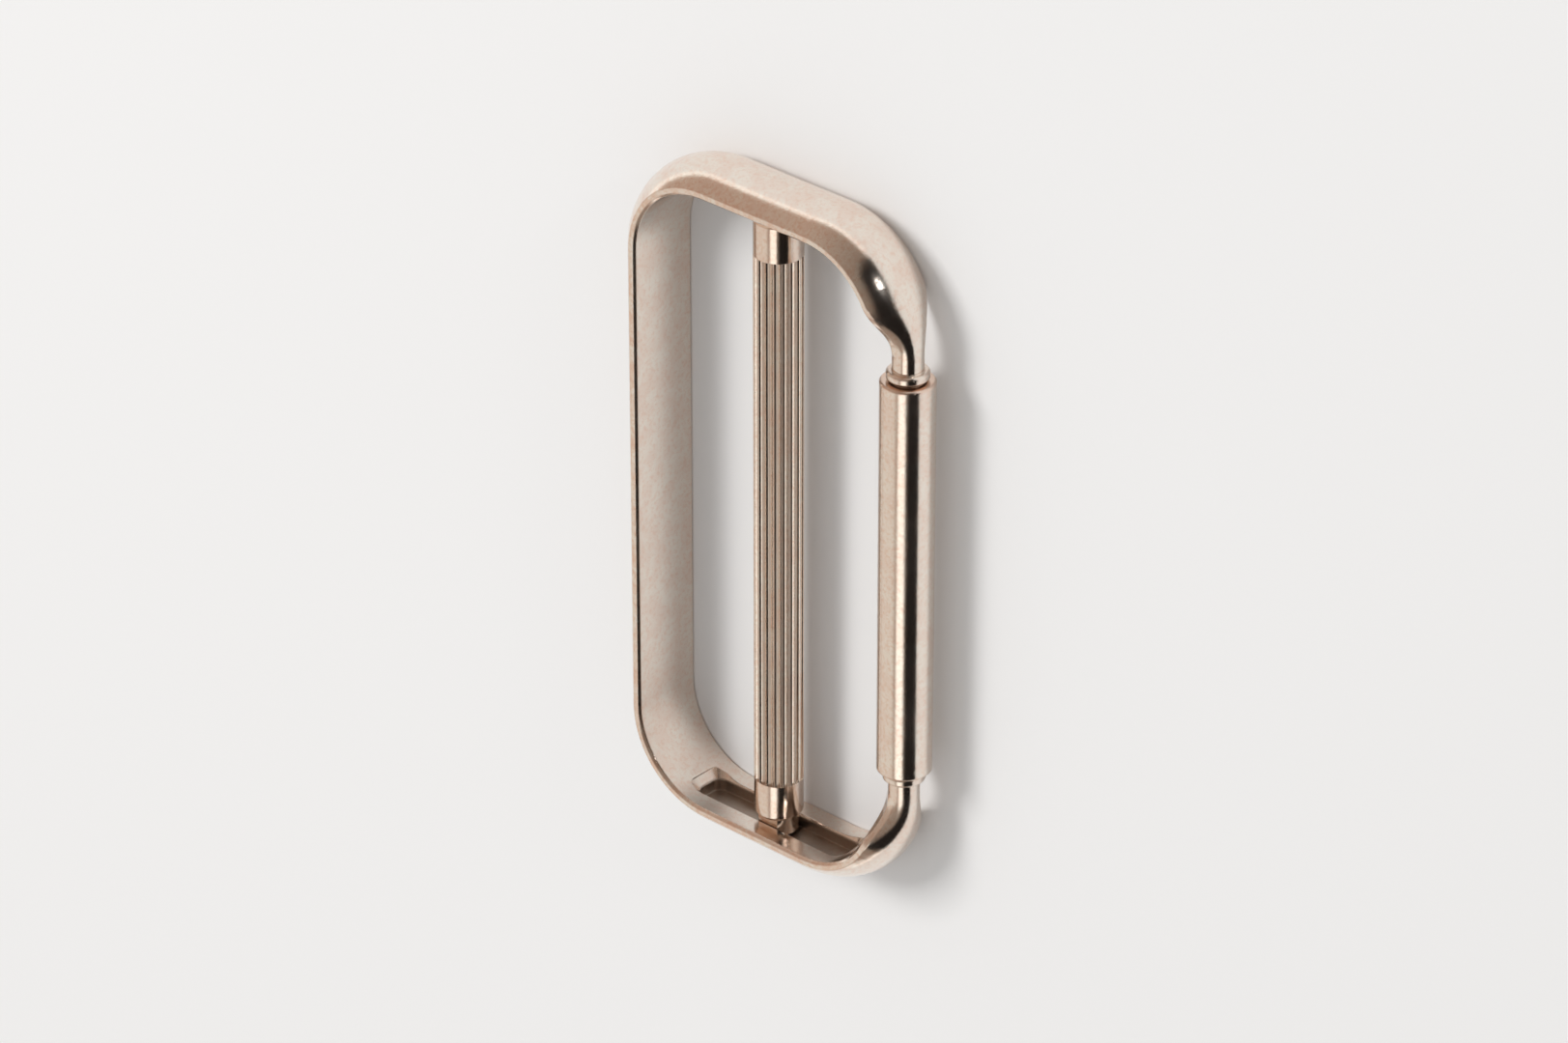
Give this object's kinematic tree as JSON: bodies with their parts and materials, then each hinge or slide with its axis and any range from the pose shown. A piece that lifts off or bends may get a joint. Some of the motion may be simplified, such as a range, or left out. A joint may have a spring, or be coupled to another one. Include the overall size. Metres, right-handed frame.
{
  "type": "strap slider buckle",
  "caption": "Metal strap slider: a half-round rectangular ring with a turning roller on the front bar and a fluted centre bar that slides to grip a folded strap.",
  "frame": {"origin": "centre of the slider's overall box, on the ring's mid-plane", "axes": "+X along the strap bars, +Y from the roller bar to the rear bar, +Z through the openings, so the slider lies flat"},
  "size_m": [0.054, 0.027, 0.006],
  "materials": {
    "plated_ring": "polished warm nickel plate on a formed half-round ring, faintly cloudy",
    "plated_roller": "polished warm nickel plate on a curled sheet-metal sleeve",
    "plated_bar": "warm nickel plate on a fluted bar, duller in the flutes"
  },
  "bodies": {
    "frame": {"frame": "plated_ring"},
    "centre_bar": {"centre_bar": "plated_bar"},
    "roller": {"roller": "plated_roller"}
  },
  "joints": [
    {"name": "bar_slide", "type": "slide", "parent": "frame", "child": "centre_bar", "axis": [0, 1, 0], "range_m": [-0.005, 0.005]},
    {"name": "roller_spin", "type": "hinge", "parent": "frame", "child": "roller", "pos_m": [0, -0.0115, 0], "axis": [1, 0, 0], "continuous": true}
  ]
}
